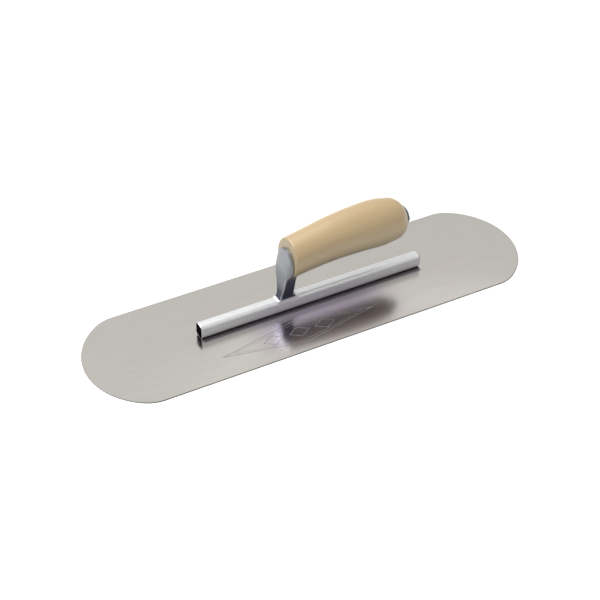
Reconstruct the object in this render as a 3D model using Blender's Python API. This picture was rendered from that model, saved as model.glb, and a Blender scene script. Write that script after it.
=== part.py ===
"""Steel finishing trowel with a one-piece cast mounting and a round wooden handle.

+X runs along the blade towards the nut end of the handle, +Z is up, and the origin is the
middle of the blade's underside.
"""
import math

import bmesh
import bpy
from mathutils import Vector

MM = 0.001
GAP = 0.3 * MM                        # clearance between pieces that touch

# Blade
BLADE_LENGTH = 406.4 * MM
BLADE_WIDTH = 114.3 * MM
BLADE_THICKNESS = 0.8 * MM
BLADE_END_RADIUS = 62.2 * MM          # a little more than half the width
BLADE_CORNER_RADIUS = 30.0 * MM       # where an end arc meets a straight side

# Mounting bar
BAR_FRONT = -103.5 * MM
BAR_REAR = 109.0 * MM
BAR_WIDTH = 10.2 * MM
BAR_TOP = 13.8 * MM
BAR_EDGE_RADIUS = 3.0 * MM            # long edges
BAR_END_RADIUS = 2.0 * MM             # edges of the end faces
BAR_LEAST_RADIUS = 0.2 * MM           # long edges where the end faces round over

# Post and the round head on it that the wood rests against: height, front face
POST_FRONT = (
    (10.0 * MM, -29.5 * MM),
    (16.0 * MM, -29.0 * MM),
    (24.0 * MM, -27.6 * MM),
    (36.0 * MM, -26.8 * MM),
    (46.0 * MM, -25.3 * MM),
    (54.0 * MM, -23.5 * MM),
    (63.0 * MM, -22.2 * MM),
)
# Half width of the post below the head: height, half width
POST_HALF_WIDTH = (
    (8.0 * MM, 4.9 * MM),
    (13.0 * MM, 4.9 * MM),
    (18.0 * MM, 4.8 * MM),
    (25.0 * MM, 6.6 * MM),
    (36.0 * MM, 9.4 * MM),
    (44.0 * MM, 11.6 * MM),
    (54.0 * MM, 12.4 * MM),
)
POST_REAR = -16.3 * MM
POST_CORNER_RADIUS = 2.0 * MM
POST_CORNER_SHARE = 0.6               # most of the half width that a corner may take
POST_ROOT = 1.0 * MM                  # how far the post reaches below the bar's round edges
POST_LEVELS = 12                      # cuts between the fillet and the head's centre
FILLET_FRONT = 3.0 * MM               # where the post runs out on the bar
FILLET_REAR = 5.0 * MM
HEAD_RADIUS = 13.2 * MM
HEAD_CENTRE_Z = 49.0 * MM
HEAD_RIM_FRONT = -22.2 * MM
CROWN_START = 40.0 * MM               # the square front edges fade into a crown above this
CROWN_FULL = 50.0 * MM
CROWN_LEAST_DEPTH = 0.1 * MM
CROWN_SHARE = 0.98                    # of the half width, leaving a narrow flat in the middle
HEAD_TOP_ANGLE = math.radians(84.0)   # last cut of the round top

# Flat front end of the wood, whose top leans back
FACE_X = -20.2 * MM
FACE_Z = 53.5 * MM
FACE_LEAN = math.radians(6.5)

# Threaded rod through the handle
ROD_RADIUS = 4.76 * MM
ROD_START = Vector((-20.5 * MM, 0.0, 49.6 * MM))
ROD_TILT = math.radians(5.5)          # rises towards the rear
TENON_RADIUS = 7.5 * MM
TENON_LENGTH = 12.0 * MM              # from the start of the rod
TENON_ROOT = 2.0 * MM                 # how far the tenon reaches back into the head

# Handle: distance along X, radius, height of the centre line
HANDLE_STATIONS = (
    (FACE_X, 17.3 * MM, FACE_Z),
    (2.2 * MM, 17.7 * MM, 57.3 * MM),
    (23.0 * MM, 18.75 * MM, 60.1 * MM),
    (43.8 * MM, 19.8 * MM, 61.3 * MM),
    (64.6 * MM, 20.4 * MM, 61.2 * MM),
    (78.1 * MM, 18.7 * MM, 60.7 * MM),
)
HANDLE_REAR = 90.6 * MM
HANDLE_END_RADIUS = 5.7 * MM
HANDLE_END_Z = 60.2 * MM
HANDLE_EDGE_RADIUS = 1.0 * MM
HANDLE_LEAN_REACH = 25.0 * MM         # the lean of the front end dies out over this length

# Washer, nut and the seat that they stand on
SEAT_DISTANCE = 108.4 * MM            # from the start of the rod
SEAT_RADIUS = 9.1 * MM
WASHER_RADIUS = 8.7 * MM
WASHER_THICKNESS = 1.2 * MM
NUT_ACROSS_FLATS = 14.3 * MM
NUT_HEIGHT = 4.5 * MM
NUT_CHAMFER = 0.7 * MM
ROD_STICK_OUT = 0.8 * MM
ROD_CHAMFER = 0.8 * MM
WASHER_EDGE = 0.15 * MM

# Rivets, set from the underside of the blade
RIVET_COUNT = 8
RIVET_END_MARGIN = 10.5 * MM
RIVET_RADIUS = 2.0 * MM
RIVET_HEAD_RADIUS = 3.4 * MM
RIVET_TOP = 9.0 * MM
RIVET_RECESS = 0.05 * MM

# Sides of the round shapes
RIVET_SIDES = 20
ROD_SIDES = 24
TENON_SIDES = 28
WASHER_SIDES = 36
HANDLE_SIDES = 36
NUT_BLANK_SIDES = 48

CUT_SPARE = 10.0 * MM                 # how far a cutter runs past an open end

QUARTER_TURN = math.pi / 2.0
BAR_BOTTOM = BLADE_THICKNESS + GAP
ROD_AXIS = Vector((math.cos(ROD_TILT), 0.0, math.sin(ROD_TILT)))
UP = Vector((0.0, 0.0, 1.0))


def clear_scene():
    for old in list(bpy.data.objects):
        bpy.data.objects.remove(old, do_unlink=True)


def make_material(name, colour, roughness, metallic):
    material = bpy.data.materials.new(name)
    material.use_nodes = True
    shader = material.node_tree.nodes["Principled BSDF"]
    shader.inputs["Base Color"].default_value = (*colour, 1.0)
    shader.inputs["Roughness"].default_value = roughness
    shader.inputs["Metallic"].default_value = metallic
    return material


def make_object(name, mesh_builder, material=None):
    """Turn a bmesh into an object, with its faces pointing out and round faces smooth."""
    bmesh.ops.recalc_face_normals(mesh_builder, faces=mesh_builder.faces)
    mesh = bpy.data.meshes.new(name)
    mesh_builder.to_mesh(mesh)
    mesh_builder.free()
    mesh.shade_smooth()
    mesh.set_sharp_from_angle(angle=math.radians(35.0))
    obj = bpy.data.objects.new(name, mesh)
    bpy.context.scene.collection.objects.link(obj)
    if material is not None:
        mesh.materials.append(material)
    return obj


def loft(rings):
    """Closed skin over a list of rings that all have the same number of points."""
    skin = bmesh.new()
    loops = [[skin.verts.new(point) for point in ring] for ring in rings]
    for lower, upper in zip(loops, loops[1:]):
        for i in range(len(lower)):
            j = (i + 1) % len(lower)
            skin.faces.new((lower[i], lower[j], upper[j], upper[i]))
    skin.faces.new(loops[0])
    skin.faces.new(list(reversed(loops[-1])))
    return skin


def turned(profile, start, axis, segments):
    """Revolve (distance, radius) pairs about an axis that starts at a point."""
    turn = Vector((1.0, 0.0, 0.0)).rotation_difference(axis).to_matrix()
    rings = []
    for distance, radius in profile:
        ring = []
        for i in range(segments):
            angle = 2.0 * math.pi * i / segments
            local = Vector((distance, radius * math.cos(angle), radius * math.sin(angle)))
            ring.append(start + turn @ local)
        rings.append(ring)
    return loft(rings)


def hide_cutter(obj):
    obj.hide_render = True
    obj.display_type = "WIRE"


def combine(target, other, operation):
    """Boolean the second object into the first, as a modifier, and hide the second."""
    modifier = target.modifiers.new(operation.title(), "BOOLEAN")
    modifier.operation = operation
    modifier.solver = "EXACT"
    modifier.object = other
    hide_cutter(other)


def smooth_value(stations, where, column):
    """Smooth curve through one column of a table whose first column is the distance."""
    last = len(stations) - 1
    where = min(max(where, stations[0][0]), stations[last][0])
    k = 0
    while k < last - 1 and where > stations[k + 1][0]:
        k += 1

    def slope(i):
        low = max(i - 1, 0)
        high = min(i + 1, last)
        rise = stations[high][column] - stations[low][column]
        return rise / (stations[high][0] - stations[low][0])

    span = stations[k + 1][0] - stations[k][0]
    t = (where - stations[k][0]) / span
    start_value = stations[k][column] * (1.0 + 2.0 * t) * (1.0 - t) ** 2
    end_value = stations[k + 1][column] * t * t * (3.0 - 2.0 * t)
    start_slope = slope(k) * span * t * (1.0 - t) ** 2
    end_slope = slope(k + 1) * span * t * t * (t - 1.0)
    return start_value + end_value + start_slope + end_slope


def spread(low, high, count):
    return [low + (high - low) * i / (count - 1) for i in range(count)]


def rivet_places():
    return spread(BAR_FRONT + RIVET_END_MARGIN, BAR_REAR - RIVET_END_MARGIN, RIVET_COUNT)


def arc(centre_x, centre_y, radius, start, end, count):
    points = []
    for angle in spread(start, end, count):
        x = centre_x + radius * math.cos(angle)
        points.append((x, centre_y + radius * math.sin(angle)))
    return points


def blade_outline():
    """Straight sides, an arc at each end and a blend arc at each of the four corners."""
    half_width = BLADE_WIDTH / 2.0
    end_centre = BLADE_LENGTH / 2.0 - BLADE_END_RADIUS
    blend_y = half_width - BLADE_CORNER_RADIUS
    reach = BLADE_END_RADIUS - BLADE_CORNER_RADIUS
    blend_x = end_centre + math.sqrt(reach ** 2 - blend_y ** 2)
    turn = math.atan2(blend_y, blend_x - end_centre)
    quarter = arc(end_centre, 0.0, BLADE_END_RADIUS, 0.0, turn, 15)
    quarter += arc(blend_x, blend_y, BLADE_CORNER_RADIUS, turn, QUARTER_TURN, 6)[1:]
    left = [(-x, y) for x, y in reversed(quarter)]
    upper = quarter + left
    lower = [(x, -y) for x, y in reversed(upper[1:-1])]
    return upper + lower


def rivet_profile(grow):
    """Countersunk rivet from its head up, grown for the holes that it stands in."""
    low = -GAP if grow else RIVET_RECESS
    high = RIVET_TOP + grow
    taper_top = BLADE_THICKNESS
    head = RIVET_HEAD_RADIUS + grow
    if grow:
        head += (RIVET_HEAD_RADIUS - RIVET_RADIUS) * GAP / BLADE_THICKNESS
    shank = RIVET_RADIUS + grow
    return ((low, head), (taper_top, shank), (high, shank))


def make_rivet_tool(name):
    """One object that holds a separate cutter for each rivet hole."""
    tool = bmesh.new()
    for place in rivet_places():
        start = Vector((place, 0.0, 0.0))
        single = turned(rivet_profile(GAP), start, UP, RIVET_SIDES)
        mesh = bpy.data.meshes.new(name + "_part")
        single.to_mesh(mesh)
        single.free()
        tool.from_mesh(mesh)
        bpy.data.meshes.remove(mesh)
    return make_object(name, tool)


def make_blade(material, rivet_tool):
    outline = blade_outline()
    low = [Vector((x, y, 0.0)) for x, y in outline]
    high = [Vector((x, y, BLADE_THICKNESS)) for x, y in outline]
    blade = make_object("blade", loft((low, high)), material)
    combine(blade, rivet_tool, "DIFFERENCE")
    return blade


def make_rivets(material):
    for number, place in enumerate(rivet_places(), start=1):
        start = Vector((place, 0.0, 0.0))
        body = turned(rivet_profile(0.0), start, UP, RIVET_SIDES)
        make_object(f"rivet_{number}", body, material)


def bar_ring(x, inset):
    """Rounded rectangle across the bar, drawn in by inset all round."""
    radius = max(BAR_EDGE_RADIUS - inset, BAR_LEAST_RADIUS)
    half = BAR_WIDTH / 2.0 - inset - radius
    low = BAR_BOTTOM + inset + radius
    high = BAR_TOP - inset - radius
    corners = ((half, high), (-half, high), (-half, low), (half, low))
    ring = []
    for number, (y, z) in enumerate(corners):
        start = number * QUARTER_TURN
        for point in arc(y, z, radius, start, start + QUARTER_TURN, 5):
            ring.append(Vector((x, point[0], point[1])))
    return ring


def make_bar():
    """The long bar, with its end faces rounded over."""
    steps = spread(0.0, QUARTER_TURN, 4)
    insets = [BAR_END_RADIUS * (1.0 - math.sin(angle)) for angle in steps]
    depths = [BAR_END_RADIUS * (1.0 - math.cos(angle)) for angle in steps]
    rings = [bar_ring(BAR_FRONT + depth, inset) for depth, inset in zip(depths, insets)]
    back = [bar_ring(BAR_REAR - depth, inset) for depth, inset in zip(depths, insets)]
    return loft(rings + back[::-1])


def fillet(height, radius):
    """How far a fillet of this radius stands out at a height above the bar."""
    if height >= radius:
        return 0.0
    rest = radius - max(height, 0.0)
    return radius - math.sqrt(max(radius ** 2 - rest ** 2, 0.0))


def section(z, front, rear, half_width, corner_depth, corner_width, rear_radius):
    """Level cut through the post or head: elliptic front corners, round rear corners."""
    ring = []
    for angle in spread(0.0, QUARTER_TURN, 8):
        x = front + corner_depth * (1.0 - math.cos(angle))
        ring.append((x, -(half_width - corner_width * (1.0 - math.sin(angle)))))
    for angle in spread(0.0, QUARTER_TURN, 4):
        x = rear - rear_radius * (1.0 - math.sin(angle))
        ring.append((x, -(half_width - rear_radius * (1.0 - math.cos(angle)))))
    mirrored = [(x, -y) for x, y in reversed(ring)]
    return [Vector((x, y, z)) for x, y in ring + mirrored]


def post_levels():
    """Heights of the cuts through the post: close in the fillet and at the round top."""
    levels = [BAR_TOP - BAR_EDGE_RADIUS - POST_ROOT, BAR_TOP - BAR_EDGE_RADIUS / 2.0]
    levels += [BAR_TOP + FILLET_REAR * (i / 6.0) ** 2 for i in range(7)]
    levels += spread(BAR_TOP + FILLET_REAR, HEAD_CENTRE_Z, POST_LEVELS)[1:]
    for angle in spread(0.0, HEAD_TOP_ANGLE, POST_LEVELS)[1:]:
        levels.append(HEAD_CENTRE_Z + HEAD_RADIUS * math.sin(angle))
    return levels


def post_half_width(z):
    """The wider of the tapering post and the round head, smoothed where they meet."""
    offset = z - HEAD_CENTRE_Z
    disc = math.sqrt(max(HEAD_RADIUS ** 2 - offset ** 2, 0.0))
    if offset >= 0.0:
        return disc
    post = smooth_value(POST_HALF_WIDTH, z, 1)
    return (post ** 8 + disc ** 8) ** 0.125


def make_post():
    """Leaning post that widens from the bar up to the round head."""
    rings = []
    for z in post_levels():
        above = z - BAR_TOP
        crown = min(max((z - CROWN_START) / (CROWN_FULL - CROWN_START), 0.0), 1.0)
        crown = crown * crown * (3.0 - 2.0 * crown)
        front = smooth_value(POST_FRONT, z, 1)
        half_width = post_half_width(z)
        corner = min(POST_CORNER_RADIUS, half_width * POST_CORNER_SHARE)
        crown_depth = max(HEAD_RIM_FRONT - front, CROWN_LEAST_DEPTH)
        depth = corner + (crown_depth - corner) * crown
        width = corner + (half_width * CROWN_SHARE - corner) * crown
        front -= fillet(above, FILLET_FRONT)
        rear = POST_REAR + fillet(above, FILLET_REAR)
        rear_corner = corner * POST_CORNER_SHARE
        rings.append(section(z, front, rear, half_width, depth, width, rear_corner))
    return loft(rings)


def make_mounting(material, rivet_tool):
    """Bar, post, head and tenon cast in one, drilled for the rod and the rivets."""
    mounting = make_object("mounting", make_bar(), material)
    combine(mounting, make_object("post_form", make_post()), "UNION")
    combine(mounting, make_object("wood_cutter", loft(handle_rings(GAP))), "DIFFERENCE")
    tenon_profile = ((-TENON_ROOT, TENON_RADIUS), (TENON_LENGTH, TENON_RADIUS))
    tenon = turned(tenon_profile, ROD_START, ROD_AXIS, TENON_SIDES)
    combine(mounting, make_object("tenon_form", tenon), "UNION")
    bore_profile = ((-GAP, ROD_RADIUS + GAP), (TENON_LENGTH + GAP, ROD_RADIUS + GAP))
    bore = turned(bore_profile, ROD_START, ROD_AXIS, ROD_SIDES)
    combine(mounting, make_object("rod_bore_cutter", bore), "DIFFERENCE")
    combine(mounting, rivet_tool, "DIFFERENCE")
    return mounting


def handle_rings(grow):
    """Round rings along the wood: a rounded front edge, a hump and a domed rear end."""
    first = FACE_X
    last = HANDLE_STATIONS[-1][0]
    places = []
    for angle in spread(0.0, QUARTER_TURN, 4):
        x = first + HANDLE_EDGE_RADIUS * (1.0 - math.cos(angle))
        inset = HANDLE_EDGE_RADIUS * (1.0 - math.sin(angle))
        places.append((x, smooth_value(HANDLE_STATIONS, x, 1) - inset))
    for x in spread(first + HANDLE_EDGE_RADIUS, last, 16)[1:]:
        places.append((x, smooth_value(HANDLE_STATIONS, x, 1)))
    dome = HANDLE_REAR - last
    end_slope = (HANDLE_STATIONS[-1][1] - HANDLE_STATIONS[-2][1])
    end_slope *= dome / (last - HANDLE_STATIONS[-2][0])
    for angle in spread(0.0, QUARTER_TURN, 9)[1:]:
        t = math.sin(angle)
        radius = HANDLE_END_RADIUS + (HANDLE_STATIONS[-1][1] - HANDLE_END_RADIUS) * math.cos(angle)
        places.append((last + dome * t, radius + end_slope * t * (1.0 - t)))
    rings = []
    centre_line = HANDLE_STATIONS + ((HANDLE_REAR, HANDLE_END_RADIUS, HANDLE_END_Z),)
    for x, radius in places:
        middle = smooth_value(centre_line, x, 2)
        lean = math.tan(FACE_LEAN) * max(1.0 - (x - first) / HANDLE_LEAN_REACH, 0.0)
        shift = -grow if x < last else grow
        ring = []
        for y, z in arc(0.0, middle, radius + grow, 0.0, 2.0 * math.pi, HANDLE_SIDES + 1)[:-1]:
            ring.append(Vector((x + shift + (z - middle) * lean, y, z)))
        rings.append(ring)
    return rings


def make_handle(material):
    handle = make_object("handle", loft(handle_rings(0.0)), material)
    step = TENON_LENGTH + GAP
    wide = TENON_RADIUS + GAP
    narrow = ROD_RADIUS + GAP
    past_front = -CUT_SPARE
    past_rear = SEAT_DISTANCE + CUT_SPARE
    profile = (
        (past_front, wide),
        (step, wide),
        (step, narrow),
        (SEAT_DISTANCE, narrow),
        (SEAT_DISTANCE, SEAT_RADIUS),
        (past_rear, SEAT_RADIUS),
    )
    cutter = turned(profile, ROD_START, ROD_AXIS, TENON_SIDES)
    bore = make_object("handle_bore_cutter", cutter)
    combine(handle, bore, "DIFFERENCE")
    return handle


def make_rod(material):
    nut_end = SEAT_DISTANCE + 2.0 * GAP + WASHER_THICKNESS + NUT_HEIGHT
    end = nut_end + ROD_STICK_OUT
    profile = (
        (0.0, ROD_RADIUS - ROD_CHAMFER),
        (ROD_CHAMFER, ROD_RADIUS),
        (end - ROD_CHAMFER, ROD_RADIUS),
        (end, ROD_RADIUS - ROD_CHAMFER),
    )
    return make_object("handle_rod", turned(profile, ROD_START, ROD_AXIS, ROD_SIDES), material)


def drill(target, start, length):
    """Clearance hole for the rod, cut along the rod's axis."""
    radius = ROD_RADIUS + GAP
    profile = ((start - CUT_SPARE, radius), (start + length + CUT_SPARE, radius))
    cutter = turned(profile, ROD_START, ROD_AXIS, ROD_SIDES)
    combine(target, make_object(target.name + "_bore_cutter", cutter), "DIFFERENCE")


def make_washer(material):
    start = SEAT_DISTANCE + GAP
    end = start + WASHER_THICKNESS
    profile = (
        (start, WASHER_RADIUS - WASHER_EDGE),
        (start + WASHER_EDGE, WASHER_RADIUS),
        (end - WASHER_EDGE, WASHER_RADIUS),
        (end, WASHER_RADIUS - WASHER_EDGE),
    )
    body = turned(profile, ROD_START, ROD_AXIS, WASHER_SIDES)
    washer = make_object("washer", body, material)
    drill(washer, start, WASHER_THICKNESS)
    return washer


def make_nut(material):
    """Hexagon nut whose corners are taken off by a turned blank."""
    start = SEAT_DISTANCE + 2.0 * GAP + WASHER_THICKNESS
    end = start + NUT_HEIGHT
    corner_radius = NUT_ACROSS_FLATS / math.sqrt(3.0)
    hexagon = turned(((start, corner_radius), (end, corner_radius)), ROD_START, ROD_AXIS, 6)
    nut = make_object("nut", hexagon, material)
    blank_profile = (
        (start - GAP, corner_radius - NUT_CHAMFER - GAP),
        (start + NUT_CHAMFER, corner_radius),
        (end - NUT_CHAMFER, corner_radius),
        (end + GAP, corner_radius - NUT_CHAMFER - GAP),
    )
    blank = turned(blank_profile, ROD_START, ROD_AXIS, NUT_BLANK_SIDES)
    combine(nut, make_object("nut_blank", blank), "INTERSECT")
    drill(nut, start, NUT_HEIGHT)
    return nut


def main():
    clear_scene()
    blade_steel = make_material("blade_steel", (0.50, 0.48, 0.47), 0.30, 1.0)
    aluminium = make_material("cast_aluminium", (0.62, 0.64, 0.67), 0.28, 1.0)
    wood = make_material("handle_wood", (0.72, 0.50, 0.33), 0.50, 0.0)
    zinc = make_material("zinc_plated_steel", (0.42, 0.46, 0.48), 0.32, 1.0)
    rivet_steel = make_material("rivet_steel", (0.50, 0.50, 0.50), 0.35, 1.0)
    rivet_tool = make_rivet_tool("rivet_hole_cutter")
    make_blade(blade_steel, rivet_tool)
    make_mounting(aluminium, rivet_tool)
    make_rod(zinc)
    make_handle(wood)
    make_washer(zinc)
    make_nut(zinc)
    make_rivets(rivet_steel)


main()
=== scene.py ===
"""Looks of the steel finishing trowel: fine meshes, materials, light and camera."""

import math

import bmesh
import bpy
from mathutils import Matrix, Vector


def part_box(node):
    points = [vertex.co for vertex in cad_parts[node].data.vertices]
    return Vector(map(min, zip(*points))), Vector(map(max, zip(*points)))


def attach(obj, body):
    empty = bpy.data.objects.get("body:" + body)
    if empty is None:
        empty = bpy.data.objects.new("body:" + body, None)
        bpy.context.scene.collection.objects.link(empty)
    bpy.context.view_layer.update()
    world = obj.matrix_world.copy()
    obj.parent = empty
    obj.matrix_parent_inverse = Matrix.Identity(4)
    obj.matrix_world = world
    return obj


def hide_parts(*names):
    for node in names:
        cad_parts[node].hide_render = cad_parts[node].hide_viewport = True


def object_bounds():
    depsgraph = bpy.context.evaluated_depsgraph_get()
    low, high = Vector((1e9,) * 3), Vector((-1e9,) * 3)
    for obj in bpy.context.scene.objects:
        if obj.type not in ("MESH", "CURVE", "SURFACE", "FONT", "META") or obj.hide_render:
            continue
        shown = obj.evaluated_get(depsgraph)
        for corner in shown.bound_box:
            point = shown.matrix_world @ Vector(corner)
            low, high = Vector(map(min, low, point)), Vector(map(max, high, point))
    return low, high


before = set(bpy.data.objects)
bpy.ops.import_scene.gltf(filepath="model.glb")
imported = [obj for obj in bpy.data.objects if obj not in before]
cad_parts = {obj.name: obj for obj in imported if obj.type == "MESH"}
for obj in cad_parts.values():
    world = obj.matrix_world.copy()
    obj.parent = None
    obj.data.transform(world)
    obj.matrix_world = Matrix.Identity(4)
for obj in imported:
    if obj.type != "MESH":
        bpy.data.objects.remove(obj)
cad_low, cad_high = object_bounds()

MM = 0.001
HALF_TURN = math.pi
QUARTER_TURN = math.pi / 2.0

# Camera: where it stands as seen from the object, and how the picture is framed
CAMERA_AZIMUTH = math.radians(-27.7)
CAMERA_ELEVATION = math.radians(39.43)
CAMERA_DISTANCE = 1183.2 * MM
CAMERA_AIM_OFFSET = Vector((-28.5, -38.8, -0.8)) * MM   # from the middle of the object's box
CAMERA_LENS = 87.09
CAMERA_SENSOR = 36.0
CAMERA_CLIP = (0.01, 50.0)

# Blade
BLADE_END_RADIUS = 62.2 * MM
BLADE_CORNER_RADIUS = 30.0 * MM
BLADE_EDGE_ROUND = 0.25 * MM
BLADE_EDGE_CUTS = 5
LEVEL_NORMAL = 0.99999                # upright part of the normal of a level face
BRUSH_MAP_SCALE = 10.0                # map units per metre

# Bar of the mounting
BAR_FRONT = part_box("mounting")[0].x
BAR_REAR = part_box("mounting")[1].x
BAR_WIDTH = 10.2 * MM
BAR_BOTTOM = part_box("mounting")[0].z
BAR_TOP = 13.8 * MM
BAR_EDGE_RADIUS = 3.0 * MM
BAR_END_RADIUS = 2.0 * MM
BAR_CORNER_CUTS = 13
BAR_END_CUTS = 9
END_FACE_NORMAL = 0.6                 # how squarely an end face looks along the bar

# Post: height, front face
POST_FRONT = (
    (10.0 * MM, -29.5 * MM),
    (16.0 * MM, -29.0 * MM),
    (24.0 * MM, -27.6 * MM),
    (36.0 * MM, -26.8 * MM),
    (46.0 * MM, -25.3 * MM),
    (54.0 * MM, -23.5 * MM),
    (63.0 * MM, -22.2 * MM),
)
# Post: height, half width
POST_HALF_WIDTH = (
    (8.0 * MM, 4.9 * MM),
    (13.0 * MM, 4.9 * MM),
    (18.0 * MM, 4.8 * MM),
    (25.0 * MM, 6.6 * MM),
    (36.0 * MM, 9.4 * MM),
    (44.0 * MM, 11.6 * MM),
    (54.0 * MM, 12.4 * MM),
)
POST_REAR = -16.3 * MM
POST_CORNER_RADIUS = 2.0 * MM
POST_CORNER_SHARE = 0.6               # most of the half width that a corner takes
REAR_CORNER_SHARE = 0.6               # rear corner's radius as a share of the front one's
POST_CUTS = 44
FILLET_FRONT = 3.0 * MM
FILLET_REAR = 5.0 * MM
FILLET_CUTS = 20
HEAD_RADIUS = 13.2 * MM
HEAD_CENTRE_Z = 49.0 * MM
HEAD_RIM_FRONT = -22.2 * MM
HEAD_TOP_ANGLE = math.radians(86.0)   # where the last cut through the round head lies
HEAD_CUTS = 36
HEAD_JOIN_POWER = 8                   # how tightly the post's outline turns into the head's
CROWN_START = 40.0 * MM
CROWN_FULL = 50.0 * MM
CROWN_LEAST_DEPTH = 0.1 * MM
CROWN_WIDTH_SHARE = 0.98
MOUNTING_SHARP_ANGLE = 28.0
WOOD_GAP = 0.3 * MM

# Segments round a turned form
RIVET_SEGMENTS = 48
ROD_SEGMENTS = 64
CUTTER_SEGMENTS = 96
HANDLE_SEGMENTS = 120
NUT_SEGMENTS = 144

# Rod through the handle, with a 3/8 inch thread
ROD_RADIUS = 4.76 * MM
ROD_START = Vector((-20.5, 0.0, 49.6)) * MM
ROD_TILT = math.radians(5.5)
ROD_AXIS = Vector((math.cos(ROD_TILT), 0.0, math.sin(ROD_TILT)))
THREAD_PITCH = 1.5875 * MM
THREAD_DEPTH = 0.85 * MM
THREAD_LENGTH = 16.0 * MM
THREAD_CUTS = 150
ROD_CHAMFER = 0.8 * MM
ROD_SHARP_ANGLE = 50.0
TENON_RADIUS = 7.5 * MM
TENON_LENGTH = 12.0 * MM

# Handle: distance along X, radius, height of the centre line
FACE_X = -20.2 * MM
FACE_Z = 53.5 * MM
FACE_LEAN = math.radians(6.5)
HANDLE_STATIONS = (
    (FACE_X, 17.3 * MM, FACE_Z),
    (2.2 * MM, 17.7 * MM, 57.3 * MM),
    (23.0 * MM, 18.75 * MM, 60.1 * MM),
    (43.8 * MM, 19.8 * MM, 61.3 * MM),
    (64.6 * MM, 20.4 * MM, 61.2 * MM),
    (78.1 * MM, 18.7 * MM, 60.7 * MM),
)
HANDLE_REAR = 90.6 * MM
HANDLE_END_RADIUS = 5.7 * MM
HANDLE_END_Z = 60.2 * MM
HANDLE_EDGE_RADIUS = 1.0 * MM
HANDLE_LEAN_REACH = 25.0 * MM         # where the front face's lean has died out
HANDLE_EDGE_CUTS = 8
HANDLE_CUTS = 70
DOME_CUTS = 28
HANDLE_SHARP_ANGLE = 32.0

# Washer and nut, measured along the rod
SEAT_DISTANCE = 108.4 * MM
SEAT_RADIUS = 9.1 * MM
WASHER_RADIUS = 8.7 * MM
WASHER_THICKNESS = 1.2 * MM
WASHER_EDGE_RADIUS = 0.3 * MM
WASHER_EDGE_CUTS = 5
NUT_ACROSS_FLATS = 14.3 * MM
NUT_HEIGHT = 4.5 * MM
NUT_CHAMFER = 0.9 * MM
NUT_CHAMFER_ANGLE = math.radians(30.0)
NUT_CLEARANCE = 0.12 * MM
NUT_SINK = 0.6 * MM
NUT_SHARP_ANGLE = 20.0
PLATE_GAP = 0.3 * MM
ROD_STICK_OUT = 0.8 * MM

# Rivets
RIVET_RADIUS = 2.0 * MM
RIVET_HEAD_RADIUS = 3.4 * MM
RIVET_SEAM = 0.06 * MM
RIVET_HEAD_EDGE = 0.08 * MM
RIVET_DIMPLE_DEPTH = 0.08 * MM
RIVET_DIMPLE_FLOOR = 0.8 * MM
RIVET_DIMPLE_RIM = 1.2 * MM
RIVET_CENTRE_MARK = 0.15 * MM

# The values for patterns are in millimetres of the frame, and shares have no unit. A pair
# says where a fade is full and where it has ended, unless its comment says something else.

# Heights on the blade between which its underside gives way to its top face
TOP_SIDE = (0.4, 0.5)

# Etched ornament on the blade
ETCH_X = -26.0
ETCH_Y = -33.0
ETCH_SIZE = (70.0, 14.0)              # half length and half width of the outer lozenge
ETCH_LINE = 0.42                      # from the middle of a line to its edge
ETCH_CORE = 0.6                       # share of that distance that is fully etched
ETCH_INNER_SHARES = (0.86, 0.80)      # inner lozenge's length and width, outer one's being 1
ETCH_INNER_LINE = 0.7                 # its line's width as a share of the outer one's
ETCH_STEP = 24.0                      # from one small lozenge to the next
ETCH_SMALL_LENGTH = 0.38              # small lozenge's half length as a share of the step
ETCH_SMALL_WIDTH = 0.42               # its half width as a share of the outer one's
ETCH_ROUGHNESS = 0.45

# Painted contact shadow, a dark line on the blade beside the bar: distances from the bar's
# middle line, and how far short of the bar's ends it is full and gone
CONTACT_SHADOW_LINE = (8.3, 10.3)
CONTACT_SHADOW_STRENGTH = 0.8
CONTACT_SHADOW_END_GAPS = (2.5, 0.5)

# Painted reflection of the handle, a dark bluish patch in front of the bar: its middle line,
# and fades across and along the blade
REFLECTION_Y = -26.0
REFLECTION_ACROSS = (14.0, 34.0)
REFLECTION_ALONG = (25.0, 85.0)

# Camber shaded into the blade's front half: its front edge and start, depth, fade along it
CAMBER_REACH = (-57.2, -5.5)
CAMBER_DEPTH = 4.4
CAMBER_ALONG = (60.0, 190.0)

# Upright part of the normal between which the blade's edge, coloured with painted shade, gives way
# to its faces
BLADE_EDGE_NORMALS = (0.90, 0.995)
BLADE_EDGE_ROUGHNESS = 0.5

# Heights between which the mounting's bright bar gives way to the duller post, and between
# which the post's painted foot shade fades, its painted corner highlight ends and the painted
# shade on its sides ends
POST_SKIN_START = (14.0, 15.2)
POST_FOOT_SHADE_FADES = (22.0, 46.0)
PAINTED_CORNER_HIGHLIGHT_ENDS = (38.0, 46.0)
PAINTED_SIDE_SHADE_ENDS = (36.0, 44.0)

# Colours of the blade, among them a painted reflection, a painted contact shadow and painted
# edge shade
STEEL_TINTS = ((0.535, 0.535, 0.495), (0.555, 0.52, 0.50))
STEEL_PATCH = (0.495, 0.50, 0.47)
STEEL_LINE = (0.435, 0.425, 0.40)
STEEL_REFLECTION_PAINT = (0.36, 0.315, 0.385)
STEEL_CONTACT_SHADOW = (0.13, 0.12, 0.14)
STEEL_ETCHED = (0.34, 0.335, 0.335)
PAINTED_EDGE_SHADE = (0.085, 0.085, 0.083)
STEEL_SHEEN = (0.75, 0.5, 0.95, 1.0)

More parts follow.
